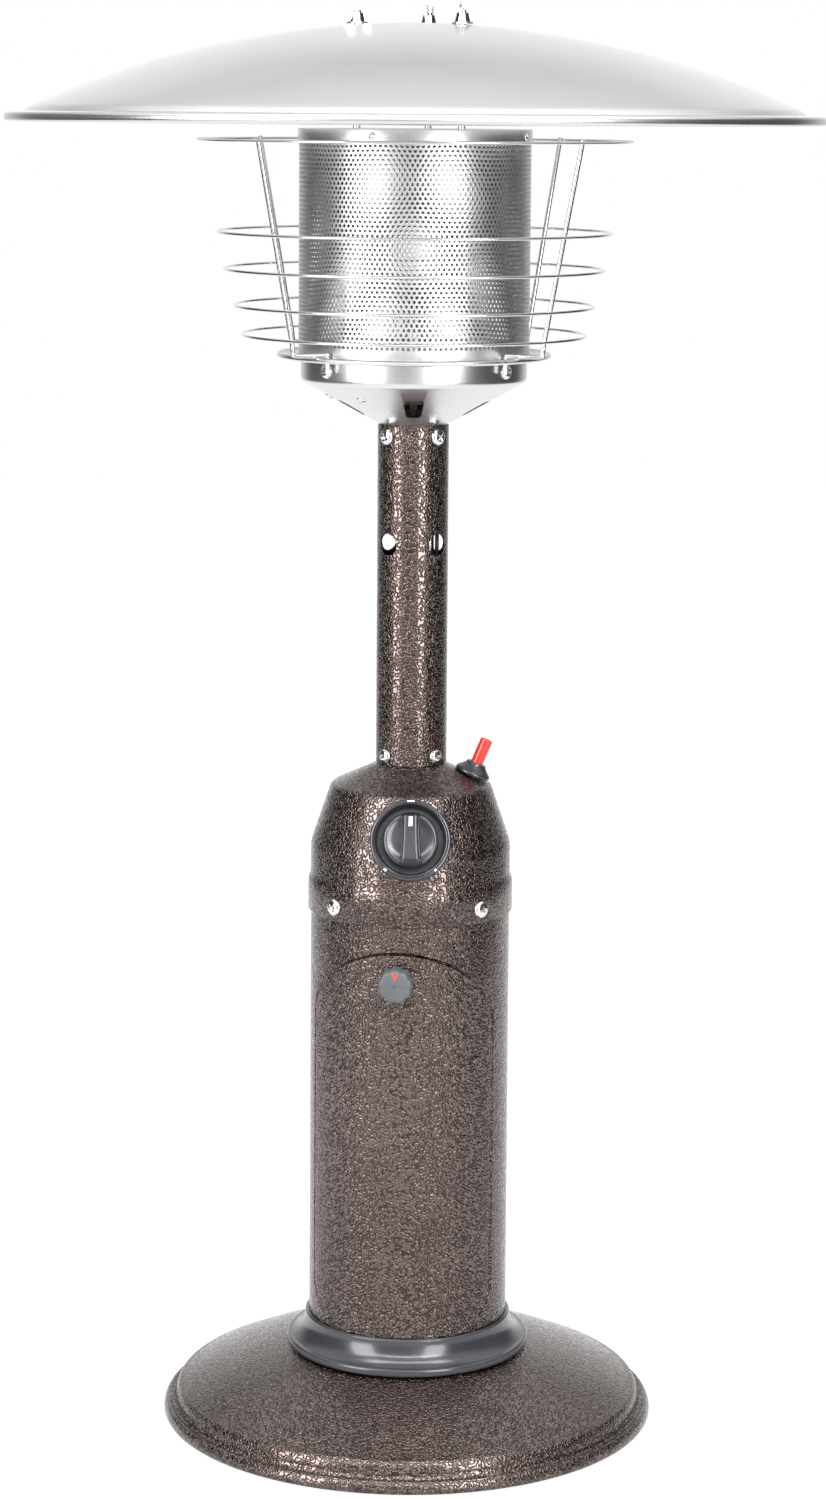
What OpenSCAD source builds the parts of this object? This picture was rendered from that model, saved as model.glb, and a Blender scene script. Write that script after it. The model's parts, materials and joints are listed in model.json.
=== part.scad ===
// Tabletop gas patio heater: weighted round base, tank housing with a tilting
// access door, domed control housing, pole, perforated emitter in a wire guard
// and a wide round reflector. The heater stands on z = 0, its axis is Z and its
// front faces -Y. Angles round the axis are counted from the front towards +X.

/* [Base] */
// Outer radius of the base rim
base_r = 163.3; // [150:0.1:175]
// Height of the flat seat in the middle of the base
base_seat_z = 50; // [47:0.5:52]
// Thickness of the base sheet
base_t = 1.4; // [1:0.1:2]
// Radius of the ballast plate
weight_r = 144; // [130:1:144]

/* [Tank housing] */
// Outer radius of the housing tube
tube_r = 66; // [62:0.5:70]
// Wall thickness of the housing tube
tube_t = 1.2; // [0.8:0.1:1.6]
// Height of the top edge of the housing tube
tube_top_z = 363; // [358:1:364]
// Outer radius of the black collar at the foot of the housing
collar_r = 80.8; // [76:0.2:84]

/* [Access door] */
// Direction that the middle of the door faces
door_az = -7; // [-20:1:20]
// Half of the door's width, seen from straight ahead
door_half_w = 57.7; // [50:0.1:60]
// Height of the door's bottom edge
door_bottom_z = 70.8; // [70.5:0.1:74]
// Height at which the door's arch begins
door_spring_z = 280; // [260:1:290]
// Height of the top of the door's arch
door_top_z = 326; // [318:1:330]
// Thickness of the door sheet
door_t = 0.9; // [0.7:0.1:1.4]
// Height of the door knob's axis
door_knob_z = 308; // [300:1:310]
// Radius of the door knob
door_knob_r = 11.3; // [9:0.1:13]

/* [Control housing] */
// Height of the lower edge of the control housing
dome_bottom_z = 344; // [340:1:348]
// Height of the step above the lower band
dome_step_z = 366; // [362:1:370]
// Height of the round shoulder at the top
dome_shoulder_z = 427; // [424:1:430]
// Radius at the round shoulder
dome_shoulder_r = 53.5; // [50:0.5:56]
// Height of the control knob's axis where it meets the housing
control_z = 401; // [396:1:406]
// Outer radius of the knob bezel
bezel_r = 26.4; // [25:0.1:27.5]
// Radius of the control knob
knob_r = 18.1; // [16:0.1:18.5]

/* [Pole] */
// Outer radius of the pole
pole_r = 23.4; // [22:0.1:25]
// Height of the pole's top end
pole_top_z = 666; // [640:1:680]
// Height of the vent holes
vent_z = 588; // [560:1:610]
// Diameter of the vent holes
vent_d = 14.5; // [10:0.5:16]

/* [Burner and emitter] */
// Outer radius of the perforated emitter screen
screen_r = 75.6; // [70:0.1:80]
// Height of the flange that carries the screen
flange_z = 712; // [708:1:716]
// Outer radius of the flange
flange_r = 89.8; // [86:0.1:94]
// Height of the bottom edge of the burner housing's drum
drum_bottom_z = 696; // [690:1:700]
// Height of the top of the emitter
emitter_top_z = 859; // [850:1:862]

/* [Reflector] */
// Outer radius of the reflector
reflector_r = 266.5; // [240:0.5:280]
// Radius of curvature of the reflector's dome
reflector_sphere_r = 595; // [560:5:640]
// Height of the top of the reflector
reflector_top_z = 927.4; // [920:0.2:932]

/* [Hidden] */
$fn = 96;

bronze = [0.27, 0.22, 0.20];
steel = [0.78, 0.79, 0.80];
bright = [0.88, 0.88, 0.88];
black = [0.13, 0.13, 0.14];
knob_grey = [0.36, 0.38, 0.40];
red = [0.80, 0.16, 0.12];
brass = [0.75, 0.60, 0.30];
iron = [0.22, 0.22, 0.23];

sheet_t = 0.8;
gap = 0.3;
fit_gap = 0.06;
screw_angles = [-47, 43, 133, 223];
cap_screw_angles = [-21, 69, 159, 249];
screw_hole_d = 4.4;

// Base dish: the dome falls as the square of the radius.
dish_top = 57.5;
dish_fall = 37;
dish_edge_r = base_r - 12.3;
dish_seat_r = tube_r + 4;
foot_h = 1.6;

// Control housing and the two axes on it.
neck_r = pole_r - 1.1 - 0.1;
neck_top_z = 456;
dome_t = 1.2;
skirt_r = tube_r + 0.2 + dome_t + 0.4;
wall_r = tube_r + 0.2;
wall_top_z = 388;
wall_tilt = atan2(wall_r - 0.8 - dome_shoulder_r, dome_shoulder_z - wall_top_z - 3);
control_r = dome_shoulder_r + (dome_shoulder_z - control_z) * tan(wall_tilt);
top_slope = 22.8;
igniter_r = 40.4;
pole_bottom_z = 442;
igniter_z = pole_bottom_z - 1 - (igniter_r - neck_r) * tan(top_slope);

stem_r = 4;
plunger_r = 3;
button_r = 4.15;
latch_shaft_r = 3;
inlet_thread_r = 12.7;
inlet_mouth_z = 298;
base_bolt_pcr = 40;
base_bolt_angles = [0, 120, 240];

screen_t = 0.8;
drum_r = screen_r - 1.5;
stud_pcr = 40;
stud_angles = [48, 168, 288];
stud_r = 2.4;
ring_wire_r = 1;
leg_wire_r = 1.5;
leg_angles = [-45, 49, 135, 229];
drum_screw_angles = leg_angles - [4, -4, 4, -4];
ring_heights = [851.4, 791.8, 767.7, 743.9, 724.9];
ring_radii = [141.4, 129.0, 124.2, 117.6, 112.4];

// ---- helpers ------------------------------------------------------------

// Points of an arc about [cx, cy].
function arc(cx, cy, r, a0, a1, n) =
  [for (i = [0:n]) let (a = a0 + (a1 - a0) * i / n) [cx + r * cos(a), cy + r * sin(a)]];

// A path moved by [dx, dy], but never across the axis.
function moved(path, dx, dy) = [for (p = path) [max(p[0] + dx, 0), p[1] + dy]];

function reversed(path) = [for (i = [len(path) - 1:-1:0]) path[i]];

// A closed ring between an outer path and the same path moved inwards.
function shell_of(path, dx, dy) = concat(path, reversed(moved(path, dx, dy)));

// A smooth curve through a list of route points.
function smooth(p, n) = concat(
  [for (i = [0:len(p) - 2]) for (k = [0:n - 1])
    let (
      t = k / n,
      a = p[max(i - 1, 0)],
      b = p[i],
      c = p[i + 1],
      d = p[min(i + 2, len(p) - 1)]
    )
    0.5 * (2 * b + (c - a) * t + (2 * a - 5 * b + 4 * c - d) * t * t
      + (3 * b - a - 3 * c + d) * t * t * t)],
  [p[len(p) - 1]]
);

// A round wire or tube along a list of points.
module swept_wire(p, r, sides) {
  last = len(p) - 1;
  rings = [for (i = [0:last])
    let (
      d = p[min(i + 1, last)] - p[max(i - 1, 0)],
      w = d / norm(d),
      ref = abs(w[1]) < 0.8 ? [0, 1, 0] : [1, 0, 0],
      u0 = cross(ref, w),
      u = u0 / norm(u0),
      v = cross(w, u)
    )
    for (k = [0:sides - 1])
      let (a = 360 * k / sides)
      p[i] + r * (cos(a) * u + sin(a) * v)];
  walls = [for (i = [0:last - 1]) for (k = [0:sides - 1])
    let (j = (k + 1) % sides)
    [i * sides + k, (i + 1) * sides + k, (i + 1) * sides + j, i * sides + j]];
  start_cap = [for (k = [0:sides - 1]) k];
  end_cap = [for (k = [sides - 1:-1:0]) last * sides + k];
  polyhedron(points = rings, faces = concat([start_cap], walls, [end_cap]), convexity = 8);
}

module revolve(path) {
  rotate_extrude() polygon(path);
}

module tube(r_out, r_in, z0, z1) {
  difference() {
    translate([0, 0, z0]) cylinder(r = r_out, h = z1 - z0);
    translate([0, 0, z0 - 1]) cylinder(r = r_in, h = z1 - z0 + 2);
  }
}

// Round the axis: a is the angle from the front, r the distance, z the height.
module around(a, r, z) {
  rotate([0, 0, a]) translate([0, -r, z]) children();
}

// Holes through a wall, towards the axis from radius r.
module radial_holes(angles, r, z, d, depth) {
  for (a = angles) {
    around(a, r + 3, z) rotate([-90, 0, 0]) cylinder(d = d, h = depth + 3);
  }
}

// Screw with a domed cross-recess head: the head stands on z = 0 and points up.
module dome_screw(head_r, head_h, shank_r, length) {
  ball_r = (head_r * head_r + head_h * head_h) / (2 * head_h);
  difference() {
    intersection() {
      translate([0, 0, head_h - ball_r]) sphere(r = ball_r);
      cylinder(r = head_r, h = head_h + 1);
    }
    for (a = [0, 90]) {
      rotate([0, 0, a]) translate([-head_r * 0.55, -head_r * 0.11, head_h * 0.5])
        cube([head_r * 1.1, head_r * 0.22, head_h]);
    }
  }
  translate([0, 0, -length]) cylinder(r = shank_r, h = length);
}

// A ring of such screws that point away from the axis.
module screw_ring(angles, r, z, head_r, head_h, shank_r, length) {
  for (a = angles) {
    around(a, r, z) rotate([90, 0, 0]) dome_screw(head_r, head_h, shank_r, length);
  }
}

// Local frame of the control knob: +Z points out of the wall, +Y up the wall.
module on_control_axis() {
  translate([0, -control_r, control_z]) rotate([90 - wall_tilt, 0, 0]) children();
}

// Local frame of the igniter: +Z points out of the top slope.
module on_igniter_axis() {
  translate([igniter_r, 0, igniter_z]) rotate([0, top_slope, 0]) children();
}

// Local frame of the door knob: +Z points out of the door.
module on_door_knob_axis() {
  rotate([0, 0, door_az]) translate([0, -tube_r - gap - door_t, door_knob_z])
    rotate([90, 0, 0]) children();
}

// ---- base ---------------------------------------------------------------

function dish_z(r) = dish_top - dish_fall * pow(r / dish_edge_r, 2);

dish_dome = [for (i = [0:10]) let (r = dish_seat_r + (dish_edge_r - dish_seat_r) * i / 10) [r, dish_z(r)]];
dish_shoulder = [for (a = [15:15:90]) [
  dish_edge_r + 4.5 * sin(a),
  dish_z(dish_edge_r) - 9 * (1 - cos(a))
]];
dish_path = concat([[0, base_seat_z], [tube_r, base_seat_z]], dish_dome, dish_shoulder);

// Groove and bead of the rim, then its hem under the base.
dish_rim = [
  [base_r - 6.2, 9.9], [base_r - 3.8, 9.4], [base_r - 2.9, 7.8], [base_r - 0.9, 7.2],
  [base_r, 5.6], [base_r, 2.8], [base_r - 1, foot_h], [base_r - 18, foot_h],
  [base_r - 18, foot_h + 1.2], [base_r - 2.2, foot_h + 1.2], [base_r - 2, 5.4],
  [base_r - 4.4, 6], [base_r - 5.4, 8]
];

module base_dish() {
  inner = reversed(moved(dish_path, -1, -base_t));
  color(bronze) difference() {
    revolve(concat(dish_path, dish_rim, inner));
    for (a = base_bolt_angles) {
      around(a, base_bolt_pcr, base_seat_z - 5) cylinder(d = 8.4, h = 8);
    }
  }
}

module base_weight() {
  hub_top = base_seat_z - base_t;
  color(iron) difference() {
    revolve([
      [0, 14], [48, 14], [54, 6], [weight_r - 2, 6], [weight_r, 8], [weight_r, 11],
      [weight_r - 2, 13], [62, 13], [50, 25], [50, hub_top], [0, hub_top]
    ]);
    for (a = base_bolt_angles) {
      around(a, base_bolt_pcr, 10) cylinder(d = 8.4, h = 50);
    }
  }
}

module rubber_feet() {
  color(black) for (a = [45:90:315]) {
    around(a, base_r - 11, 0) cylinder(r = 6.5, h = foot_h);
  }
}

module base_bolts() {
  color(bright) for (a = base_bolt_angles) {
    around(a, base_bolt_pcr, base_seat_z + 1.5) cylinder(r = 7, h = 4.5, $fn = 6);
    around(a, base_bolt_pcr, 6) cylinder(r = 4, h = base_seat_z - 4.5);
  }
}

module base_nuts() {
  color(bright) for (a = base_bolt_angles) {
    difference() {
      around(a, base_bolt_pcr, 8) cylinder(r = 7, h = 6, $fn = 6);
      around(a, base_bolt_pcr, 7) cylinder(r = 4, h = 8);
    }
  }
}

module tank_floor() {
  floor_r = tube_r - tube_t;
  color(bronze) difference() {
    union() {
      translate([0, 0, base_seat_z]) cylinder(r = floor_r, h = 1.5);
      tube(floor_r, floor_r - 1.2, base_seat_z, base_seat_z + 10);
    }
    for (a = base_bolt_angles) {
      around(a, base_bolt_pcr, base_seat_z - 1) cylinder(d = 8.4, h = 4);
    }
  }
}

module base_collar() {
  top = 69.6;
  lip_top = 53.2;
  lip_bottom = 48.7;
  flare_r = collar_r - tube_r - 2.6;
  flare = [for (a = [0:15:75]) [
    tube_r + 2.6 + flare_r * (1 - cos(a)),
    top - 1 - (top - 1 - lip_top) * sin(a)
  ]];
  color(black) revolve(concat(
    [[tube_r, base_seat_z + 0.9], [tube_r, top], [tube_r + 1.8, top]],
    flare,
    [[collar_r - 0.5, lip_top], [collar_r, lip_top - 0.8], [collar_r, lip_bottom + 0.8],
      [collar_r - 0.8, lip_bottom]]
  ));
}

// ---- tank housing and access door ---------------------------------------

// Outline of the door seen from straight ahead, drawn in by inset on each side.
function door_outline(inset) = let (
    w = door_half_w - inset,
    low = door_bottom_z + inset * 0.75,
    corner = 26 - inset,
    arch_h = door_top_z - inset - door_spring_z
  ) concat(
    arc(-w + corner, low + corner, corner, 180, 270, 6),
    arc(w - corner, low + corner, corner, 270, 360, 6),
    [for (a = [0:10:180]) [w * cos(a), door_spring_z + arch_h * sin(a)]]
  );

// The outline as a prism that runs from the heater's axis out past the door.
module door_prism(inset) {
  rotate([0, 0, door_az]) rotate([90, 0, 0]) linear_extrude(height = tube_r + 20)
    polygon(door_outline(inset));
}

module tank_housing() {
  color(bronze) difference() {
    tube(tube_r, tube_r - tube_t, base_seat_z, tube_top_z);
    door_prism(4);
    radial_holes(screw_angles, tube_r, 353, screw_hole_d, 8);
  }
}

module access_door() {
  inner_r = tube_r + gap;
  color(bronze) difference() {
    intersection() {
      tube(inner_r + door_t, inner_r, door_bottom_z - 1, door_top_z + 1);
      door_prism(0);
    }
    on_door_knob_axis() translate([0, 0, -8]) cylinder(r = latch_shaft_r + fit_gap, h = 12);
  }
}

// Two hooks that hold the door's foot behind the edge of the opening.
module door_tabs() {
  outer_r = tube_r + gap;
  edge_z = door_bottom_z + 3;
  color(bronze) rotate([0, 0, door_az]) for (x = [-22, 22]) {
    intersection() {
      union() {
        tube(outer_r, outer_r - 1.6, edge_z + 0.4, edge_z + 16);
        tube(outer_r, outer_r - 5.6, edge_z + 0.4, edge_z + 1.6);
        tube(outer_r - 4.4, outer_r - 5.6, edge_z - 9, edge_z + 1.6);
      }
      translate([x - 6, -tube_r - 5, 0]) cube([12, 40, 200]);
    }
  }
}

module door_knob() {
  flutes = 9;
  flute_r = 7;
  height = 12.5;
  color(knob_grey) on_door_knob_axis() difference() {
    union() {
      difference() {
        rotate_extrude() polygon([
          [0, 0.6], [door_knob_r - 0.6, 0.6], [door_knob_r, 1.4], [door_knob_r, height - 2],
          [door_knob_r - 1.2, height - 0.4], [door_knob_r - 2.4, height], [0, height]
        ]);
        for (i = [0:flutes - 1]) {
          rotate([0, 0, 360 / flutes * i + 20]) translate([door_knob_r + flute_r - 1, 0, -1])
            cylinder(r = flute_r, h = height + 2, $fn = 48);
        }
      }
      translate([0, 0, -5.8]) cylinder(r = latch_shaft_r, h = 7);
    }
    translate([0, 0, -6]) cylinder(r = 1.3, h = 6);
  }
}

module latch_cam() {
  color(bright) on_door_knob_axis() difference() {
    translate([-5, -5, -5.8]) cube([23.5, 10, 1.5]);
    translate([0, 0, -7]) cylinder(r = latch_shaft_r, h = 4);
  }
}

module latch_screw() {
  color(bright) on_door_knob_axis() translate([0, 0, -5.8]) rotate([180, 0, 0])
    dome_screw(4, 1.8, 1.3, 5);
}

// ---- control housing ----------------------------------------------------

shoulder_arc_r = 5;
dome_path = concat(
  [[neck_r, neck_top_z], [neck_r, pole_bottom_z - 1]],
  arc(
    dome_shoulder_r - 4.6, dome_shoulder_z - shoulder_arc_r + 1.6, shoulder_arc_r,
    90 - top_slope, wall_tilt, 5
  ),
  [[wall_r - 0.8, wall_top_z + 3], [wall_r, wall_top_z - 2], [wall_r, dome_step_z + 2.6]],
  [[skirt_r - 0.4, dome_step_z - 1.2], [skirt_r, dome_step_z - 2.2], [skirt_r, dome_bottom_z]]
);

module housing_solid() {
  revolve(concat([[0, neck_top_z]], dome_path, [[0, dome_bottom_z]]));
}

module control_housing() {
  color(bronze) difference() {
    revolve(shell_of(dome_path, -dome_t, -dome_t * 0.35));
    on_control_axis() translate([0, 0, -16]) cylinder(r = 22.8, h = 30);
    on_igniter_axis() translate([0, 0, -6]) cylinder(r = 7, h = 12);
    radial_holes(screw_angles, skirt_r, 353, screw_hole_d, 8);
    radial_holes(screw_angles, neck_r, 448, screw_hole_d, 6);
  }
}

module housing_screws() {
  color(bright) screw_ring(screw_angles, skirt_r + 0.05, 353, 5.7, 2.8, 2.1, 8);
}

// Plate across the housing that carries the valve and shields the tank.
module valve_shelf() {
  shelf_r = tube_r - tube_t - 0.1;
  color(steel) difference() {
    union() {
      tube(shelf_r, shelf_r - 1, 347, 361);
      translate([0, 0, 360]) cylinder(r = shelf_r, h = 1.5);
    }
    translate([0, 0, 355]) cylinder(r = 17.2, h = 10);
    radial_holes(screw_angles, shelf_r, 353, screw_hole_d, 8);
  }
}

// Regulator and valve in one casting, with a barrel for the knob's stem.
module control_valve() {
  color(brass) difference() {
    union() {
      translate([0, 0, 318]) cylinder(r = 17, h = 58);
      translate([0, 0, 366]) cylinder(r = 29, h = 18);
      translate([0, 0, 384]) cylinder(r = 20, h = 8);
      on_control_axis() translate([0, 0, -52]) cylinder(r = 9.5, h = 44);
    }
    on_control_axis() {
      translate([0, 0, -28.4]) cylinder(r = stem_r + fit_gap, h = 24);
      translate([0, 0, -44]) cylinder(r = plunger_r + fit_gap, h = 20);
    }
    translate([0, 0, 300]) cylinder(r = 8, h = 50);
  }
}

module tank_inlet() {
  color(brass) difference() {
    translate([0, 0, inlet_mouth_z]) cylinder(r = 17, h = 20);
    translate([0, 0, inlet_mouth_z - 1]) cylinder(r = inlet_thread_r, h = 15);
    translate([0, 0, inlet_mouth_z + 13]) cylinder(r = 12.1, h = 5);
    translate([0, 0, 310]) cylinder(r = 8, h = 20);
  }
}

module inlet_seal() {
  color(black) rotate_extrude() translate([10.4, 314.4]) circle(r = 1.6, $fn = 32);
}

module valve_nut() {
  color(brass) difference() {
    translate([0, 0, 354]) cylinder(r = 24, h = 6, $fn = 6);
    translate([0, 0, 350]) cylinder(r = 17, h = 12);
  }
}

// Rod behind the stem that slides in when the knob is pushed.
module valve_plunger() {
  color(bright) on_control_axis() translate([0, 0, -40]) cylinder(r = plunger_r, h = 14.6);
}

module control_knob() {
  ridge_h = 12;
  color(black) on_control_axis() {
    rotate_extrude() polygon([
      [0, 0], [knob_r, 0], [knob_r, 4.2], [knob_r - 1, 5.2], [0, 5.8]
    ]);
    intersection() {
      rotate([90, 0, 0]) translate([0, 0, -knob_r]) linear_extrude(height = 2 * knob_r)
        polygon([[-6.6, 2], [6.6, 2], [5.4, ridge_h - 1], [4.6, ridge_h],
          [-4.6, ridge_h], [-5.4, ridge_h - 1]]);
      translate([0, 0, 1]) rotate_extrude() polygon([
        [0, 0], [knob_r, 0], [knob_r, 5.4], [knob_r - 1.6, ridge_h], [0, ridge_h]
      ]);
    }
    translate([0, 0, -25]) cylinder(r = stem_r, h = 26);
  }
}

module knob_pointer() {
  color("white") on_control_axis() translate([-1.2, 7.4, 12]) cube([2.4, 7, 0.4]);
}

// Bezel: a saddle on the housing wall with a well for the knob.
module knob_bezel() {
  well_r = 22;
  color(black) difference() {
    on_control_axis() {
      difference() {
        rotate_extrude() polygon([
          [well_r, -14], [bezel_r, -14], [bezel_r, 2.4], [bezel_r - 0.8, 3.4], [24.6, 3.8],
          [24.1, 5], [23.3, 5], [22.9, 3.6], [well_r, 3]
        ]);
      }
    }
    housing_solid();
  }
  color(black) on_control_axis() difference() {
    translate([0, 0, -5]) cylinder(r = well_r + 0.4, h = 8);
    translate([0, 0, -3.8]) cylinder(r = well_r - 0.8, h = 8);
    translate([0, 0, -6]) cylinder(r = stem_r + 1.2, h = 8);
  }
}

// ---- igniter ------------------------------------------------------------

module igniter_collar() {
  color(black) on_igniter_axis() difference() {
    rotate_extrude() polygon([
      [0, -4], [6.8, -4], [6.8, 0.1], [11, 0.1], [11.9, 0.9], [11.9, 2.2], [11, 3.2],
      [6.6, 7.4], [6, 8.4], [0, 8.4]
    ]);
    translate([0, 0, -5]) cylinder(r = button_r + fit_gap, h = 20);
  }
}

module igniter_button() {
  color(red) on_igniter_axis() translate([0, 0, -3.5]) cylinder(r = button_r, h = 28.5);
}

module igniter_body() {
  color(black) on_igniter_axis() difference() {
    translate([0, 0, -36]) cylinder(r = 9, h = 30);
    translate([0, 0, -16]) cylinder(r = button_r + 0.4, h = 12);
  }
}

module igniter_nut() {
  color(black) on_igniter_axis() difference() {
    translate([0, 0, -6]) cylinder(r = 11, h = 3.6, $fn = 6);
    translate([0, 0, -7]) cylinder(r = 6.8, h = 8);
  }
}

module tilt_switch() {
  color(black) translate([-54, 6, 361.5]) cube([22, 16, 20]);
}

// ---- pole, tubes and leads ----------------------------------------------

module pole() {
  color(bronze) difference() {
    tube(pole_r, pole_r - 1.1, pole_bottom_z, pole_top_z);
    radial_holes(screw_angles, pole_r, 448, screw_hole_d, 8);
    radial_holes(screw_angles, pole_r, 659, screw_hole_d, 8);
    for (a = [-45, 45]) {
      around(a, 30, vent_z) rotate([-90, 0, 0]) cylinder(d = vent_d, h = 60);
    }
  }
}

module pole_bottom_screws() {
  color(bright) screw_ring(screw_angles, pole_r + 0.05, 448, 4.8, 2.6, 2.1, 4);
}

module pole_top_screws() {
  color(bright) screw_ring(screw_angles, pole_r + 0.05, 659, 5.4, 2.8, 2.1, 4);
}

module gas_tube() {
  color(steel) swept_wire(smooth([
    [9, 6, 392], [9, 6, 410], [10, 5, 440], [11, 4, 520], [11, 4, 600], [8, 3, 640],
    [2, 1, 656], [0, 0, 668], [0, 0, 675.8]
  ], 3), 3, 12);
}

module igniter_lead() {
  color(black) swept_wire(smooth([
    [27, 0, 400], [24, -1, 394], [19, -3, 398], [16, -5, 412], [15, -6, 440], [15, -4, 520],
    [16, -5, 590], [15, -4, 650], [18, -3, 676], [19, -3, 696], [19, -3, 706], [16, -3, 715.4]
  ], 3), 1.3, 8);
}

module thermocouple_lead() {
  color(brass) swept_wire(smooth([
    [-6, 12, 392], [-6, 13, 410], [-4, 14, 440], [-2, 15, 520], [-2, 15, 600], [-4, 15, 650],
    [-14, 12, 680], [-17, 8, 696], [-17, 8, 706], [-12, 3, 715.4]
  ], 3), 1, 8);
}

// ---- burner -------------------------------------------------------------

cone_top = [drum_r - 2.6, drum_bottom_z - 2.2];
cone_foot = [neck_r + 1.9, pole_top_z + 1.4];
housing_path = concat(
  [[drum_r, flange_z - 1.5], [drum_r, drum_bottom_z + 1]],
  [[drum_r - 0.8, drum_bottom_z - 1], cone_top, cone_foot],
  [[neck_r, pole_top_z + 0.4], [neck_r, 648]]
);

cone_tilt = atan2(cone_top[1] - cone_foot[1], cone_top[0] - cone_foot[0]);
cone_screw_r = 56;
cone_screw_z = cone_foot[1] + (cone_screw_r - cone_foot[0]) * tan(cone_tilt);

// Local frames of the two screws in the cone: +Z points out of the cone.
module on_cone_screws() {
  for (a = [-78, -37]) {
    around(a, cone_screw_r, cone_screw_z) rotate([180 - cone_tilt, 0, 0]) children();
  }
}

// Stainless drum and cone, with a neck that fits inside the pole.
module burner_housing() {
  window = [[-4.6, 673], [4.6, 673], [7, 685.5], [-7, 685.5]];
  color(steel) difference() {
    revolve(shell_of(housing_path, -sheet_t, sheet_t * 0.5));
    for (a = [0:90:270]) {
      rotate([0, 0, a]) rotate([90, 0, 0]) linear_extrude(height = 70) polygon(window);
    }
    radial_holes(screw_angles, neck_r, 659, screw_hole_d, 6);
    radial_holes(drum_screw_angles, drum_r, 704, screw_hole_d, 6);
    on_cone_screws() translate([0, 0, -4]) cylinder(d = 3.6, h = 8);
  }
}

// Flat ring with a rolled edge that carries the emitter screen.
module burner_flange() {
  color(steel) difference() {
    union() {
      tube(flange_r - 2, drum_r - 6, flange_z - 1, flange_z);
      rotate_extrude() translate([flange_r - 1.8, flange_z - 0.2]) circle(r = 1.8, $fn = 32);
    }
    for (a = leg_angles) {
      around(a, drum_r + 4.2, flange_z - 4) cylinder(r = leg_wire_r + 0.8, h = 8);
    }
  }
}

module drum_screws() {
  color(bright) screw_ring(drum_screw_angles, drum_r + 0.05, 704, 4.9, 2.6, 2.1, 5);
}

// Two small screws in the left of the cone hold the pilot's bracket.
module cone_screws() {
  color(bright) on_cone_screws() dome_screw(3.2, 1.6, 1.6, 4);
}

module gas_jet() {
  color(brass) difference() {
    union() {
      translate([0, 0, 676]) cylinder(r = 5, h = 6, $fn = 6);
      translate([0, 0, 682]) cylinder(r = 3.4, h = 6);
    }
    translate([0, 0, 675]) cylinder(r = 0.8, h = 20);
  }
}

module venturi_tube() {
  color(steel) revolve([
    [9.6, 684], [12, 680], [13, 680], [10.6, 685], [10.6, 704], [9.6, 704]
  ]);
}

// Flared pan that spreads the gas under the mesh.
module burner_pan() {
  color(steel) difference() {
    revolve([
      [10.6, 700], [16, 701], [52, 711], [60, 718], [61, 718], [61, 717.4], [53, 710],
      [16, 699.8], [10.6, 698.8]
    ]);
    translate([19, -3, 690]) cylinder(r = 2.6, h = 25);
    translate([-17, 8, 690]) cylinder(r = 2.6, h = 25);
  }
}

module burner_mesh() {
  color(steel) translate([0, 0, 716]) cylinder(r = 57, h = 0.8);
}

// Pilot hood, thermocouple tip and spark electrode on one bracket.
module pilot_assembly() {
  color(steel) {
    translate([-14, -4, 716.8]) cube([32, 8, 1.2]);
    translate([0, 0, 718]) difference() {
      cylinder(r = 5, h = 17);
      translate([0, 0, -1]) cylinder(r = 4.2, h = 20);
      translate([-2.5, -8, 9]) cube([5, 16, 5]);
    }
    translate([-10, 0, 718]) cylinder(r = 1.8, h = 20);
    translate([13, 0, 718]) cylinder(r = 2.4, h = 14);
    translate([13, 0, 732]) cylinder(r = 0.8, h = 6);
  }
}

// ---- emitter and guard --------------------------------------------------

module emitter_screen() {
  color(steel) tube(screen_r, screen_r - screen_t, flange_z, emitter_top_z - 1);
}

module emitter_cap() {
  color(steel) difference() {
    union() {
      tube(screen_r + 0.8, screen_r, emitter_top_z - 8, emitter_top_z);
      translate([0, 0, emitter_top_z - 1]) cylinder(r = screen_r + 0.8, h = 1);
    }
    for (a = stud_angles) {
      around(a, stud_pcr, emitter_top_z - 4) cylinder(r = stud_r, h = 8);
    }
    radial_holes(cap_screw_angles, screen_r + 0.8, emitter_top_z - 4.5, 1.6, 0.8);
  }
}

module cap_screws() {
  color(bright) screw_ring(cap_screw_angles, screen_r + 0.85, emitter_top_z - 4.5, 2.6, 1.4, 0.7, 0.7);
}

module guard_ring(i) {
  color(steel) rotate_extrude() translate([ring_radii[i], ring_heights[i]])
    circle(r = ring_wire_r, $fn = 24);
}

// Four wires that carry the rings: each bends in over the flange and down
// through it to a screw in the drum.
module guard_legs() {
  side = ring_wire_r + leg_wire_r - 0.2;
  low_r = ring_radii[4] - side - 1.1;
  route = concat(
    [[0, -ring_radii[0] + side, ring_heights[0] + 1.6], [0, -low_r, flange_z + 10]],
    [[0, -low_r + 0.8, flange_z + 5.4], [0, -low_r + 3.4, flange_z + 3.4]],
    [[0, -drum_r - 7, flange_z + 2.6], [0, -drum_r - 4.8, flange_z + 1.6]],
    [[0, -drum_r - 4.2, flange_z - 1], [0, -drum_r - 4.2, flange_z - 9]]
  );
  color(steel) for (a = leg_angles) {
    rotate([0, 0, a]) swept_wire(route, leg_wire_r, 12);
  }
}

// ---- reflector ----------------------------------------------------------

dome_edge_r = reflector_r - 14;
reflector_t = 0.8;
sphere_z = reflector_top_z - reflector_sphere_r;
function reflector_z(r) = sphere_z + sqrt(reflector_sphere_r * reflector_sphere_r - r * r);
reflector_path = [for (i = [0:18]) let (r = dome_edge_r * i / 18) [r, reflector_z(r)]];

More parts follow.
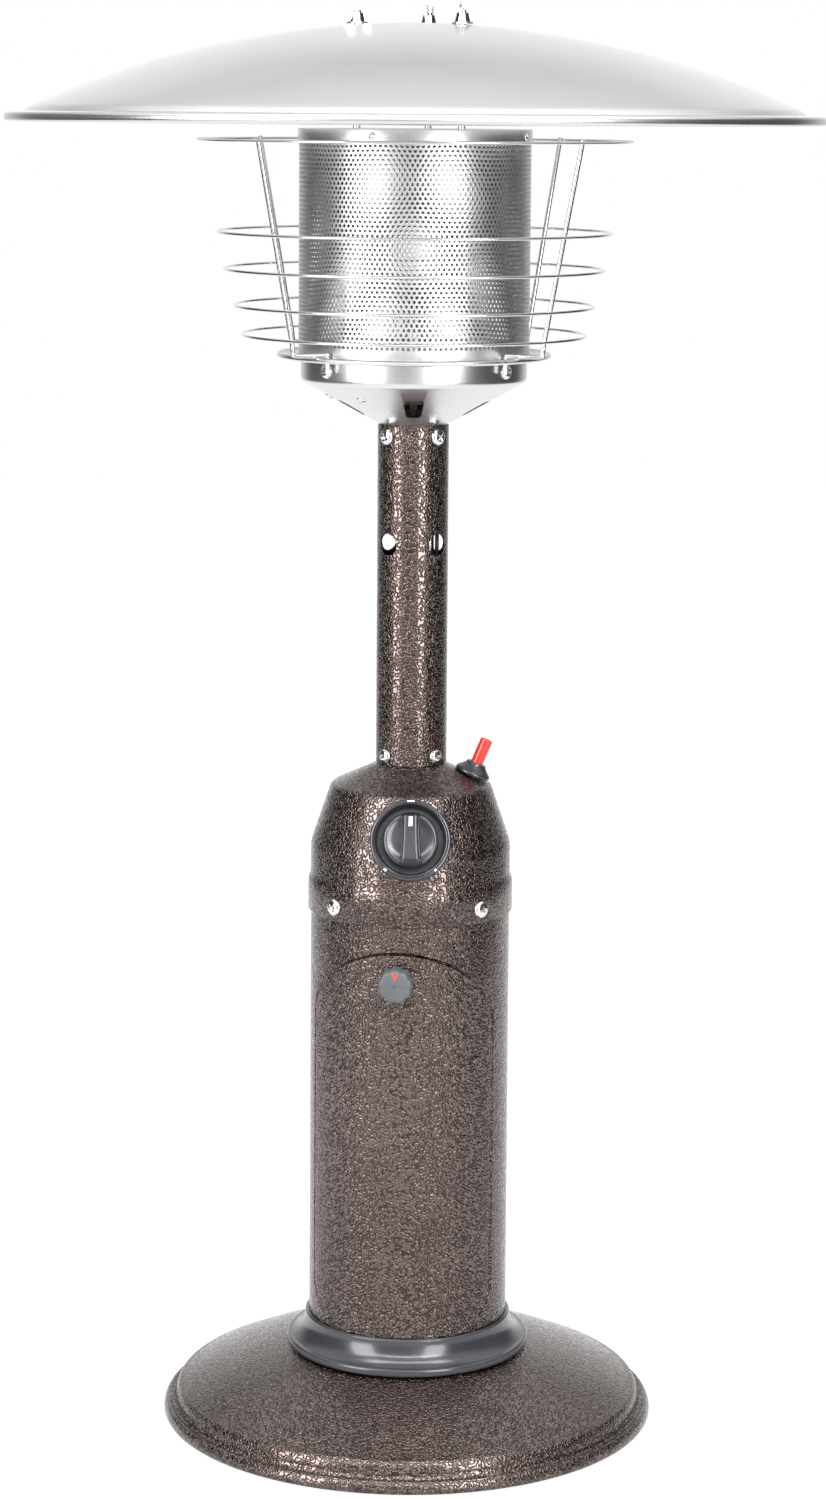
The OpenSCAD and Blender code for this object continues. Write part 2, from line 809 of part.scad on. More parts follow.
module reflector() {
  bead_r = 3.2;
  edge_z = reflector_z(dome_edge_r);
  bead = arc(reflector_r - bead_r, edge_z - 2.4 - bead_r, bead_r, 90, -226, 18);
  color(steel) difference() {
    revolve(concat(
      reflector_path,
      [[dome_edge_r + 1.4, edge_z - 2]],
      bead,
      [[dome_edge_r + 0.6, edge_z - 3.2]],
      reversed(moved(reflector_path, -0.3, -reflector_t))
    ));
    for (a = stud_angles) {
      around(a, stud_pcr, reflector_top_z - 8) cylinder(r = stud_r + 0.5, h = 12);
    }
  }
}

module reflector_studs() {
  color(bright) for (a = stud_angles) {
    around(a, stud_pcr, emitter_top_z - 1) cylinder(r = stud_r, h = 77);
  }
}

module stud_nuts() {
  color(bright) for (a = stud_angles) {
    difference() {
      around(a, stud_pcr, reflector_top_z - 6.8) cylinder(r = 4.6, h = 4, $fn = 6);
      around(a, stud_pcr, reflector_top_z - 8) cylinder(r = stud_r, h = 8);
    }
  }
}

module stud_washers() {
  color(bright) for (a = stud_angles) {
    difference() {
      around(a, stud_pcr, reflector_top_z - 0.9) cylinder(r = 7, h = 0.9);
      around(a, stud_pcr, reflector_top_z - 2) cylinder(r = stud_r, h = 4);
    }
  }
}

// Wing nuts, each turned to its own angle by hand.
module wing_nuts() {
  turns = [32, -95, 87];
  wing = [[3, 0.6], [5, 0.6], [7.8, 9], [7.4, 11.6], [5.2, 12.4], [3.6, 10.6], [3, 5]];
  color(bright) for (i = [0:2]) {
    around(stud_angles[i], stud_pcr, reflector_top_z) rotate([0, 0, turns[i]]) difference() {
      union() {
        cylinder(r1 = 5.2, r2 = 3.8, h = 6);
        for (s = [0, 180]) {
          rotate([90, 0, s]) translate([0, 0, -0.9]) linear_extrude(height = 1.8) polygon(wing);
        }
      }
      translate([0, 0, -1]) cylinder(r = stud_r, h = 20);
    }
  }
}

base_dish();
base_weight();
rubber_feet();
base_bolts();
base_nuts();
tank_floor();
base_collar();
tank_housing();
access_door();
door_tabs();
door_knob();
latch_cam();
latch_screw();
control_housing();
housing_screws();
valve_shelf();
control_valve();
tank_inlet();
inlet_seal();
valve_nut();
valve_plunger();
control_knob();
knob_pointer();
knob_bezel();
igniter_collar();
igniter_button();
igniter_body();
igniter_nut();
tilt_switch();
pole();
pole_bottom_screws();
pole_top_screws();
gas_tube();
igniter_lead();
thermocouple_lead();
burner_housing();
burner_flange();
drum_screws();
cone_screws();
gas_jet();
venturi_tube();
burner_pan();
burner_mesh();
pilot_assembly();
emitter_screen();
emitter_cap();
cap_screws();
guard_ring(0);  // guard_ring_1
guard_ring(1);  // guard_ring_2
guard_ring(2);  // guard_ring_3
guard_ring(3);  // guard_ring_4
guard_ring(4);  // guard_ring_5
guard_legs();
reflector_studs();
stud_nuts();
reflector();
stud_washers();
wing_nuts();
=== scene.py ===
import json
import math
import random

import bmesh
import bpy
import numpy as np
from mathutils import Matrix, Vector


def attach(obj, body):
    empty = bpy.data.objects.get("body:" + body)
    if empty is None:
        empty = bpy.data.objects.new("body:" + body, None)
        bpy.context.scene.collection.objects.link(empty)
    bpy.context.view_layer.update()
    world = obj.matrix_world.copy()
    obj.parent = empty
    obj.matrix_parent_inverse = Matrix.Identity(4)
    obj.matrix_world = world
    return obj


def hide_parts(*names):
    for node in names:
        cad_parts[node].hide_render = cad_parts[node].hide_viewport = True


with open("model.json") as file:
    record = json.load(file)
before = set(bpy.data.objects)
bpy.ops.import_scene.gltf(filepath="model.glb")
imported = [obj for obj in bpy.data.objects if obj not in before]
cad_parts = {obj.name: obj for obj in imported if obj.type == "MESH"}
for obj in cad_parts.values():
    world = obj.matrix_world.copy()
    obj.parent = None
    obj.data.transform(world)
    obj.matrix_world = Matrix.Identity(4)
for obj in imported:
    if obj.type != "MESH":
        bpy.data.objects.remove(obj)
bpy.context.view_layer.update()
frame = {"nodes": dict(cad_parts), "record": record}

MM = 0.001
TAU = 2 * math.pi
nodes = frame["nodes"]
record = frame["record"]


# ---- materials ------------------------------------------------------------

def new_material(name):
    """A new material, its node tree and its Principled shader."""
    mat = bpy.data.materials.new(name)
    mat.use_nodes = True
    return mat, mat.node_tree, mat.node_tree.nodes["Principled BSDF"]


def node(tree, kind, **values):
    """A shader node with its inputs or settings given by name."""
    made = tree.nodes.new(kind)
    for key, value in values.items():
        if key in made.inputs:
            made.inputs[key].default_value = value
        else:
            setattr(made, key, value)
    return made


def link(tree, a, out, b, into):
    """Joins output `out` of node `a` to input `into` of node `b`."""
    tree.links.new(a.outputs[out], b.inputs[into])


def object_coords(tree, scale=(1, 1, 1)):
    """Object coordinates in metres, scaled."""
    coords = node(tree, "ShaderNodeTexCoord")
    mapping = node(tree, "ShaderNodeMapping")
    mapping.inputs["Scale"].default_value = scale
    link(tree, coords, "Object", mapping, "Vector")
    return mapping


def ramp(tree, source, output, stops):
    """A colour ramp over the source's value, from (position, colour) pairs."""
    made = node(tree, "ShaderNodeValToRGB")
    elements = made.color_ramp.elements
    while len(elements) < len(stops):
        elements.new(0.5)
    for element, (position, colour) in zip(elements, stops):
        element.position = position
        element.color = (*colour, 1)
    link(tree, source, output, made, "Fac")
    return made


def spread(tree, source, output, given, wanted, smooth=False):
    """Takes the source's values from the range `given` to the range `wanted`."""
    made = node(tree, "ShaderNodeMapRange")
    if smooth:
        made.interpolation_type = "SMOOTHSTEP"
    for side, value in zip(("From Min", "From Max", "To Min", "To Max"), (*given, *wanted)):
        made.inputs[side].default_value = value
    link(tree, source, output, made, "Value")
    return made


def noise(tree, coords, scale, detail, **values):
    """Noise over object coordinates."""
    made = node(tree, "ShaderNodeTexNoise", Scale=scale, Detail=detail, **values)
    link(tree, coords, "Vector", made, "Vector")
    return made


def shaded(tree, shader, source, colour, dark, light):
    """Base colour that goes from darker to lighter; `dark` and `light` are (position, factor)."""
    stops = [(position, [min(c * factor, 1) for c in colour]) for position, factor in (dark, light)]
    link(tree, ramp(tree, source, "Fac", stops), "Color", shader, "Base Color")


def hazed(tree, shader, source, low, high):
    """Roughness between `low` and `high`, by the source's value."""
    link(tree, spread(tree, source, "Fac", (0, 1), (low, high)), "Result", shader, "Roughness")


def add_bump(tree, shader, source, output, distance, strength):
    """Relief up to `distance` metres deep, by the source's value."""
    bump = node(tree, "ShaderNodeBump", Distance=distance, Strength=strength)
    link(tree, source, output, bump, "Height")
    link(tree, bump, "Normal", shader, "Normal")
    return bump


def radius_of(tree):
    """Distance from the heater's axis, for concentric spun marks."""
    coords = node(tree, "ShaderNodeTexCoord")
    flat = node(tree, "ShaderNodeVectorMath", operation="MULTIPLY")
    flat.inputs[1].default_value = (1, 1, 0)
    length = node(tree, "ShaderNodeVectorMath", operation="LENGTH")
    link(tree, coords, "Object", flat, 0)
    link(tree, flat, "Vector", length, 0)
    return length


def hammered_bronze():
    """Glossy hammertone enamel: soft islands between thin winding valleys."""
    mat, tree, shader = new_material("hammered_bronze")
    coords = object_coords(tree)
    warp = noise(tree, coords, 260.0, 1.0)
    shift = node(tree, "ShaderNodeMixRGB", blend_type="ADD", Fac=0.0016)
    link(tree, coords, "Vector", shift, "Color1")
    link(tree, warp, "Color", shift, "Color2")
    cells = node(tree, "ShaderNodeTexNoise", Scale=430.0, Detail=0.6, Roughness=0.4)
    link(tree, shift, "Color", cells, "Vector")
    centred = node(tree, "ShaderNodeMath", operation="SUBTRACT")
    centred.inputs[1].default_value = 0.5
    link(tree, cells, "Fac", centred, 0)
    fold = node(tree, "ShaderNodeMath", operation="ABSOLUTE")
    link(tree, centred, "Value", fold, 0)
    islands = spread(tree, fold, "Value", (0, 0.15), (0, 1), smooth=True)
    tint = ramp(tree, islands, "Result", [
        (0.0, (0.038, 0.025, 0.021)), (0.35, (0.072, 0.050, 0.044)), (1.0, (0.142, 0.108, 0.099)),
    ])
    broad = noise(tree, coords, 9.0, 3.0)
    worn = ramp(tree, broad, "Fac", [(0.3, (0.86, 0.84, 0.84)), (0.7, (1.06, 1.04, 1.03))])
    colour = node(tree, "ShaderNodeMixRGB", blend_type="MULTIPLY", Fac=1.0)
    link(tree, tint, "Color", colour, "Color1")
    link(tree, worn, "Color", colour, "Color2")
    link(tree, colour, "Color", shader, "Base Color")
    rough = spread(tree, islands, "Result", (0, 1), (0.28, 0.14))
    link(tree, rough, "Result", shader, "Roughness")
    shader.inputs["Metallic"].default_value = 0.94
    shader.inputs["Coat Weight"].default_value = 0.5
    shader.inputs["Coat Roughness"].default_value = 0.14
    bump = add_bump(tree, shader, islands, "Result", 0.00028, 1.0)
    link(tree, bump, "Normal", shader, "Coat Normal")
    return mat


def spun_steel(name, colour, rough):
    """Stainless sheet with concentric spinning marks."""
    mat, tree, shader = new_material(name)
    marks = node(tree, "ShaderNodeTexNoise", noise_dimensions="1D", Scale=1500.0, Detail=3.0)
    link(tree, radius_of(tree), "Value", marks, "W")
    shaded(tree, shader, marks, colour, (0.25, 0.88), (0.75, 1.08))
    cloudy = noise(tree, object_coords(tree), 14.0, 2.0)
    hazed(tree, shader, cloudy, rough - 0.05, rough + 0.07)
    shader.inputs["Metallic"].default_value = 1.0
    shader.inputs["Anisotropic"].default_value = 0.45
    tangent = node(tree, "ShaderNodeTangent", direction_type="RADIAL", axis="Z")
    link(tree, tangent, "Tangent", shader, "Tangent")
    add_bump(tree, shader, marks, "Fac", 0.00002, 0.6)
    return mat


def rolled_steel(name, colour, rough, scale):
    """Bright sheet or wire with a fine drawn grain and faint clouding."""
    mat, tree, shader = new_material(name)
    grain = noise(tree, object_coords(tree, scale), 1.0, 4.0, Roughness=0.6)
    shaded(tree, shader, grain, colour, (0.2, 0.86), (0.8, 1.06))
    cloudy = noise(tree, object_coords(tree), 60.0, 2.0)
    hazed(tree, shader, cloudy, max(rough - 0.05, 0.03), rough + 0.08)
    shader.inputs["Metallic"].default_value = 1.0
    add_bump(tree, shader, grain, "Fac", 0.00002, 0.5)
    return mat


def moulded(name, colour, rough, grain=2600.0, depth=0.00003, coat=0.0):
    """Moulded plastic or rubber: a very fine even grain and slight mottling."""
    mat, tree, shader = new_material(name)
    coords = object_coords(tree)
    fine = noise(tree, coords, grain, 2.0)
    mottle = noise(tree, coords, 45.0, 3.0)
    shaded(tree, shader, mottle, colour, (0.3, 0.85), (0.7, 1.15))
    hazed(tree, shader, mottle, rough - 0.05, rough + 0.08)
    shader.inputs["Coat Weight"].default_value = coat
    shader.inputs["Coat Roughness"].default_value = 0.12
    add_bump(tree, shader, fine, "Fac", depth, 0.5)
    return mat


# The inner faces of the screen and of the burner housing get this darker steel: painted shade, so the
# holes and windows read dark.
SCREEN_INSIDE_SHADE = rolled_steel("screen_inside_painted_shade", (0.12, 0.115, 0.11), 0.42, (60, 60, 900))
MATERIALS = {
    "bronze_paint": hammered_bronze(),
    "spun_steel": spun_steel("spun_steel", (0.72, 0.725, 0.735), 0.27),
    "screen_steel": rolled_steel("screen_steel", (0.76, 0.765, 0.77), 0.37, (60, 60, 900)),
    "guard_chrome": rolled_steel("guard_chrome", (0.74, 0.74, 0.75), 0.16, (500, 500, 500)),
    "screw_steel": rolled_steel("screw_steel", (0.80, 0.80, 0.79), 0.13, (900, 900, 900)),
    "black_plastic": moulded("black_plastic", (0.026, 0.028, 0.033), 0.24, coat=0.5),
    "knob_plastic": moulded("knob_plastic", (0.076, 0.086, 0.095), 0.42),
    "red_plastic": moulded("red_plastic", (0.60, 0.026, 0.016), 0.24, coat=0.4),
    "white_mark": moulded("white_mark", (0.78, 0.78, 0.77), 0.5),
    # Brass well darker than bright metal: partly old tarnish, partly painted shade for the jet inside
    # the dim burner housing.
    "brass": rolled_steel("brass", (0.30, 0.25, 0.17), 0.4, (300, 300, 300)),
    "cast_iron": moulded("cast_iron", (0.07, 0.07, 0.075), 0.6, 700.0, 0.0003),
    "rubber": moulded("rubber", (0.022, 0.022, 0.023), 0.62),
}
RED_MARK = moulded("red_mark", (0.62, 0.05, 0.035), 0.45)

slot_of = {s["node"]: s["material_slot"] for s in record["subparts"]}
for name, obj in nodes.items():
    obj.data.materials.clear()
    obj.data.materials.append(MATERIALS[slot_of[name]])


# ---- shapes -----------------------------------------------------------------

def mesh_from(name, verts, faces, mat, sharp=32):
    """A smooth-shaded mesh from points in millimetres; edges over `sharp` degrees stay crisp."""
    mesh = bpy.data.meshes.new(name)
    mesh.from_pydata((np.asarray(verts, dtype=np.float64) * MM).tolist(), [], faces)
    mesh.materials.append(mat)
    mesh.validate()
    mesh.shade_smooth()
    mesh.set_sharp_from_angle(angle=math.radians(sharp))
    obj = bpy.data.objects.new(name, mesh)
    bpy.context.collection.objects.link(obj)
    return obj


def arc(x, z, x_radius, z_radius, degrees):
    """Points on an ellipse about (x, z), one for each angle from +X."""
    turns = [math.radians(a) for a in degrees]
    return [(x + x_radius * math.cos(t), z + z_radius * math.sin(t)) for t in turns]


def ring_faces(low, high, steps):
    """Quads between two rings of points, whose first points have the numbers `low` and `high`."""
    return [[low + k, low + (k + 1) % steps, high + (k + 1) % steps, high + k] for k in range(steps)]


def stacked_faces(rings, steps):
    """Faces of a solid made of rings of points one after another, closed at both ends."""
    faces = []
    for i in range(rings - 1):
        faces += ring_faces(i * steps, (i + 1) * steps, steps)
    faces.append(list(range(steps))[::-1])
    faces.append([(rings - 1) * steps + k for k in range(steps)])
    return faces


def rectangle(half_x, half_y):
    """Corners of a centred rectangle, counterclockwise."""
    return [(-half_x, -half_y), (half_x, -half_y), (half_x, half_y), (-half_x, half_y)]


def wall_profile(inner, outer, low, high):
    """Profile of a plain tube, or of a rod where `inner` is 0."""
    return [(inner, low), (outer, low), (outer, high), (inner, high)]


def prism(outline, low, high):
    """Points and faces of an (x, y) outline that stands from height `low` to `high`."""
    verts = [(x, y, z) for z in (low, high) for x, y in outline]
    return verts, stacked_faces(2, len(outline))


def radial_prism(outline, inner, outer):
    """Points and faces of an (x, z) outline that runs forward, from `inner` to `outer` off the axis."""
    verts = [(x, -y, z) for y in (inner, outer) for x, z in outline]
    return verts, stacked_faces(2, len(outline))


def lathe_data(profile, steps):
    """Points and faces of a closed profile of (radius, height) turned about Z."""
    angles = np.linspace(0, TAU, steps, endpoint=False)
    verts = []
    rings = []
    for radius, height in profile:
        start = len(verts)
        if radius < 1e-6:
            verts.append((0.0, 0.0, height))
            rings.append([start] * steps)
        else:
            verts.extend((radius * math.sin(a), -radius * math.cos(a), height) for a in angles)
            rings.append(list(range(start, start + steps)))
    faces = []
    for low, high in zip(rings, rings[1:] + rings[:1]):
        for k in range(steps):
            j = (k + 1) % steps
            corners = [low[k], low[j], high[j], high[k]]
            face = [c for n, c in enumerate(corners) if c not in corners[:n]]
            if len(face) > 2:
                faces.append(face)
    return verts, faces


def rounded(path, radius, keep_axis=True):
    """The closed path with its corners eased by up to `radius`; any on the axis can stay sharp."""
    steps = 4
    out = []
    points = [Vector(p) for p in path]
    for i, here in enumerate(points):
        back = points[i - 1] - here
        ahead = points[(i + 1) % len(points)] - here
        reach = min(radius, back.length * 0.45, ahead.length * 0.45)
        on_axis = keep_axis and here.x < 1e-6
        if on_axis or reach < 1e-4:
            out.append(tuple(here))
            continue
        a = here + back.normalized() * reach
        b = here + ahead.normalized() * reach
        for k in range(steps + 1):
            t = k / steps
            out.append(tuple(a * (1 - t) ** 2 + here * 2 * t * (1 - t) + b * t * t))
    return out


def placed(verts, place):
    """The points in the frame `place`, or as they are without one."""
    if place is None:
        return verts
    return [tuple(place @ Vector(v)) for v in verts]


def turned(name, profile, mat, steps, ease, place=None, sharp=32):
    """A turned piece with eased corners."""
    verts, faces = lathe_data(rounded(profile, ease), steps)
    return mesh_from(name, placed(verts, place), faces, mat, sharp)


def turn_z(degrees):
    """A turn about Z, counterclockwise from above."""
    return Matrix.Rotation(math.radians(degrees), 4, "Z")


def frame_at(origin, out, up):
    """Local frame at `origin` in mm: +Z along `out`, +Y as near to `up` as it can be."""
    z = Vector(out).normalized()
    x = Vector(up).cross(z).normalized()
    y = z.cross(x)
    turn = Matrix((x, y, z)).transposed().to_4x4()
    return Matrix.Translation(Vector(origin)) @ turn


def around(angle, radius, height):
    """The frame of a piece on a round wall: +Z points away from the axis, +Y up."""
    a = math.radians(angle)
    out = (math.sin(a), -math.cos(a), 0)
    return frame_at((radius * out[0], radius * out[1], height), out, (0, 0, 1))


def joined(name, parts, mat, sharp=32, place=None):
    """One mesh from several (verts, faces) pairs."""
    verts = []
    faces = []
    for part_verts, part_faces in parts:
        base = len(verts)
        verts.extend(placed(part_verts, place))
        faces.extend([[base + i for i in face] for face in part_faces])
    return mesh_from(name, verts, faces, mat, sharp)


def sweep_data(points, radius, sides):
    """Points and faces of a round wire along a route, with flat ends."""
    route = [Vector(p) for p in points]
    last = len(route) - 1
    verts = []
    normal = None
    for i, p in enumerate(route):
        ahead = (route[min(i + 1, last)] - route[max(i - 1, 0)]).normalized()
        if normal is None:
            normal = ahead.orthogonal().normalized()
        normal = (normal - ahead * normal.dot(ahead)).normalized()
        side = ahead.cross(normal)
        for k in range(sides):
            a = TAU * k / sides
            verts.append(tuple(p + radius * (math.cos(a) * normal + math.sin(a) * side)))
    return verts, stacked_faces(len(route), sides)


def curve_points(points, steps):
    """A smooth curve through the points (Catmull-Rom)."""
    p = [Vector(v) for v in points]
    last = len(p) - 1
    out = []
    for i in range(last):
        a, b, c, d = p[max(i - 1, 0)], p[i], p[i + 1], p[min(i + 2, last)]
        bend = 2 * a - 5 * b + 4 * c - d
        twist = 3 * b - a - 3 * c + d
        for t in np.arange(steps) / steps:
            out.append(0.5 * (2 * b + (c - a) * t + bend * t * t + twist * t * t * t))
    out.append(p[-1])
    return out


def cut_away(blank, cutters):
    """Points (mm) and faces of a blank less its cutters; the objects themselves are deleted."""
    for obj in [blank] + cutters:
        work = bmesh.new()
        work.from_mesh(obj.data)
        bmesh.ops.recalc_face_normals(work, faces=work.faces)
        work.to_mesh(obj.data)
        work.free()
    for cutter in cutters:
        cut = blank.modifiers.new("cut", "BOOLEAN")
        cut.operation = "DIFFERENCE"
        cut.solver = "EXACT"
        cut.object = cutter
    graph = bpy.context.evaluated_depsgraph_get()
    done = blank.evaluated_get(graph).to_mesh()
    verts = np.array([v.co for v in done.vertices]) / MM
    faces = [list(p.vertices) for p in done.polygons]
    for obj in [blank] + cutters:
        bpy.data.objects.remove(obj)
    return verts, faces


def bored(name, blank, holes):
    """The blank with round holes of (frame, radius, low, high) through it."""
    mat = blank.data.materials[0]
    cutters = []
    for place, radius, low, high in holes:
        verts, faces = lathe_data(wall_profile(0, radius, low, high), 72)
        cutters.append(mesh_from("cutter", placed(verts, place), faces, mat))
    return mesh_from(name, *cut_away(blank, cutters), mat, 60)


def show(obj, body, slot, *replaced):
    """Puts a piece on its body, in place of the CAD nodes it stands for."""
    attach(obj, body)
    if replaced:
        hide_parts(*replaced)


def soften(name, width, segments, angle):
    """Welds a CAD node's split points and eases its edges for the light."""
    obj = nodes[name]
    weld = obj.modifiers.new("weld", "WELD")
    weld.merge_threshold = 0.00001
    bevel = obj.modifiers.new("bevel", "BEVEL")
    bevel.width = width * MM
    bevel.segments = segments
    bevel.limit_method = "ANGLE"
    bevel.angle_limit = math.radians(angle)
    bevel.harden_normals = False
    for face in obj.data.polygons:
        face.use_smooth = True
    normals = obj.modifiers.new("normals", "WEIGHTED_NORMAL")
    normals.keep_sharp = True


# ---- heater sizes, in mm ----------------------------------------------------

BASE_R = 163.3
DISH_EDGE_R = BASE_R - 12.3
DISH_SEAT_Z = 50.0
COLLAR_R = 80.8
TUBE_R = 66.0
TUBE_TOP_Z = 363.0
BRONZE_SHEET = 1.2
DOME_SHOULDER = (53.5, 427.0)
WALL_R = 66.2
SKIRT_R = 67.8
SKIRT_LOW_Z = 344.0
NECK_R = 22.2
NECK_FOOT_Z = 441.0
POLE_R = 23.4
DRUM_R = 74.1
SCREEN_R = 75.6
HOLES_ACROSS = 138
HOLE_R = 1.12
HOLE_PITCH = TAU * SCREEN_R / HOLES_ACROSS
HOLE_RISE = HOLE_PITCH * 0.866  # rows of a triangular pattern
HOLE_ROWS_LOW_Z = 718.6
POLE_TOP_Z = 666.0
DRUM_LOW_Z = 696.0
STEEL_SHEET = 0.8
FLANGE_R = 89.8
FLANGE_Z = 712.0
EMITTER_TOP = 859.0
REFLECTOR_R = 266.5
REFLECTOR_SPHERE = 595.0
REFLECTOR_TOP = 927.4
SCREW_ANGLES = (-47, 43, 133, 223)
LEG_ANGLES = (-45, 49, 135, 229)
DRUM_SCREW_ANGLES = (-49, 53, 131, 233)
SCREW_SHANK_R = 2.1
RING_SIZES = ((141.4, 851.4), (129.0, 791.8), (124.2, 767.7), (117.6, 743.9), (112.4, 724.9))
RING_WIRE = 1.0
LEG_WIRE = 1.5

# The control housing's wall leans in, and its knob and igniter stand square to the sheet.
WALL_TILT = math.atan2(WALL_R - 0.8 - DOME_SHOULDER[0], 36.0)
CONTROL_Z = 401.0
CONTROL_R = DOME_SHOULDER[0] + (DOME_SHOULDER[1] - CONTROL_Z) * math.tan(WALL_TILT)
CONTROL = frame_at(
    (0, -CONTROL_R, CONTROL_Z),
    (0, -math.cos(WALL_TILT), math.sin(WALL_TILT)),
    (0, 0, 1),
)
TOP_SLOPE = math.radians(22.8)
IGNITER_X = 40.4
IGNITER = frame_at(
    (IGNITER_X, 0, NECK_FOOT_Z - (IGNITER_X - NECK_R) * math.tan(TOP_SLOPE)),
    (math.sin(TOP_SLOPE), 0, math.cos(TOP_SLOPE)),
    (0, 1, 0),
)
DOOR_AZ = -7.0
DOOR_KNOB = around(DOOR_AZ, 67.2, 308.0)


# ---- base -------------------------------------------------------------------

def dish_z(r):
    """Height of the dish's upper face at radius r."""
    return 57.5 - 37 * (r / DISH_EDGE_R) ** 2


def build_base():
    """Pressed dish: a domed top, a rounded shoulder and a beaded rim that turns in below."""
    seat = TUBE_R + 4
    dome = [(r, dish_z(r)) for r in np.linspace(seat, DISH_EDGE_R, 25)]
    shoulder = arc(DISH_EDGE_R, dish_z(DISH_EDGE_R) - 9, 4.5, 9, range(80, -1, -10))
    top = [(0, DISH_SEAT_Z), (TUBE_R, DISH_SEAT_Z)] + dome + shoulder
    rim = [
        (BASE_R - 6.9, 10.2), (BASE_R - 5.8, 9.3), (BASE_R - 4.9, 9.3), (BASE_R - 3.9, 10.1),
        (BASE_R - 2.9, 10.2), (BASE_R - 1.6, 9.2), (BASE_R - 0.5, 7.3), (BASE_R, 5.2), (BASE_R, 3.2),
        (BASE_R - 0.6, 2.1), (BASE_R - 2, 1.6), (BASE_R - 18, 1.6), (BASE_R - 18, 2.8),
        (BASE_R - 2.4, 2.8), (BASE_R - 2.2, 5.2), (BASE_R - 4.4, 7.6), (BASE_R - 7.4, 8.2),
    ]
    inner = [(max(r - 1, 0), z - 1.4) for r, z in reversed(top)]
    verts, faces = lathe_data(top + rim + inner, 224)
    dish = mesh_from("base_dish_shell", verts, faces, MATERIALS["bronze_paint"], 50)
    show(dish, "stand", "bronze_paint", "base_dish")


def build_collar():
    """Flared ring between the tube and the dish."""
    lip_r = TUBE_R + 0.05
    flare_r = COLLAR_R - TUBE_R - 2.6
    flare = arc(COLLAR_R, 68.6, flare_r, 15.4, range(180, 260, 5))
    foot = [
        (COLLAR_R - 1.2, 53.6), (COLLAR_R - 0.3, 53.0), (COLLAR_R, 52.2), (COLLAR_R, 49.6),
        (COLLAR_R - 0.4, 48.8), (COLLAR_R - 1.4, 48.7),
    ]
    profile = [(lip_r, 50.9), (lip_r, 69.6), (TUBE_R + 1.8, 69.6)] + flare + foot
    collar = turned("base_collar_ring", profile, MATERIALS["black_plastic"], 192, 0.25, sharp=50)
    show(collar, "stand", "black_plastic", "base_collar")


# ---- tank housing and the seat of its door ----------------------------------

def door_outline(inset):
    """Outline of the door seen from straight ahead, drawn in by `inset` on each side."""
    half = 57.7 - inset
    low = 70.8 + inset * 0.75
    corner = 26 - inset
    arch_low = 280
    arch_high = 326 - inset
    points = []
    for side, start in ((-1, 180), (1, 270)):
        points += arc(side * (half - corner), low + corner, corner, corner, range(start, start + 91, 10))
    return points + arc(0, arch_low, half, arch_high - arch_low, range(0, 181, 5))


def door_groove(outside, inside, depth):
    """Points and faces that cut the V channel along the door's edge, round the wall."""
    lip_r = TUBE_R - 0.05
    top_r = TUBE_R + 2
    floor_r = TUBE_R - depth
    verts = []
    for (x0, z0), (x1, z1) in zip(door_outline(-outside), door_outline(inside)):
        for x, z, r in ((x0, z0, lip_r), (x0, z0, top_r), (x1, z1, top_r), (x1, z1, floor_r)):
            verts.append((x, -math.sqrt(r * r - x * x), z))
    corners = len(verts) // 4
    faces = []
    for i in range(corners):
        j = (i + 1) % corners
        faces += [[4 * i + k, 4 * j + k, 4 * j + (k + 1) % 4, 4 * i + (k + 1) % 4] for k in range(4)]
    return verts, faces


def build_tank_housing():
    """The tube, with its door opening and the pressed channel that the door's edge sits over."""
    profile = wall_profile(TUBE_R - BRONZE_SHEET, TUBE_R, DISH_SEAT_Z, TUBE_TOP_Z)
    mat = MATERIALS["bronze_paint"]
    blank = mesh_from("tank_housing_blank", *lathe_data(profile, 192), mat)
    opening = radial_prism(door_outline(4), 40, 90)
    channel = door_groove(1.7, 0.4, 1.0)
    cutters = []
    for verts, faces in (opening, channel):
        cutters.append(mesh_from("cutter", placed(verts, turn_z(DOOR_AZ)), faces, mat))
    tube = mesh_from("tank_housing_tube", *cut_away(blank, cutters), mat, 30)
    show(tube, "stand", "bronze_paint", "tank_housing")


# ---- control housing --------------------------------------------------------

def build_housing():
    """The cover's shell, with the round openings that take the bezel and the igniter."""
    bend_r = 5.0
    bend_x = DOME_SHOULDER[0] - 4.6
    bend_z = DOME_SHOULDER[1] - bend_r + 1.6
    angles = np.linspace(90 - math.degrees(TOP_SLOPE), math.degrees(WALL_TILT), 11)
    shoulder = arc(bend_x, bend_z, bend_r, bend_r, angles)
    waist = [
        (WALL_R - 1.2, 391.8), (WALL_R - 0.6, 389.6), (WALL_R - 0.2, 387.4), (WALL_R, 385),
        (WALL_R, 369.4), (WALL_R + 0.2, 367.6), (SKIRT_R - 0.9, 365.9), (SKIRT_R - 0.25, 364.6),
        (SKIRT_R, 362.8), (SKIRT_R, SKIRT_LOW_Z + 0.4), (SKIRT_R - 0.3, SKIRT_LOW_Z),
    ]
    neck = [(NECK_R, NECK_FOOT_Z + 15), (NECK_R, NECK_FOOT_Z + 1.4), (NECK_R + 1.2, NECK_FOOT_Z - 0.1)]
    outer = neck + shoulder + waist
    inner = [(r - BRONZE_SHEET, z - 0.5) for r, z in reversed(outer)]
    inner[0] = (inner[0][0], SKIRT_LOW_Z)
    mesh_data = lathe_data(outer + inner, 192)
    blank = mesh_from("control_housing_blank", *mesh_data, MATERIALS["bronze_paint"], 60)
    cover = bored("control_housing_shell", blank, [(CONTROL, 22.4, -14, 14), (IGNITER, 6.9, -6, 6)])
    show(cover, "stand", "bronze_paint", "control_housing")


# ---- screws -----------------------------------------------------------------

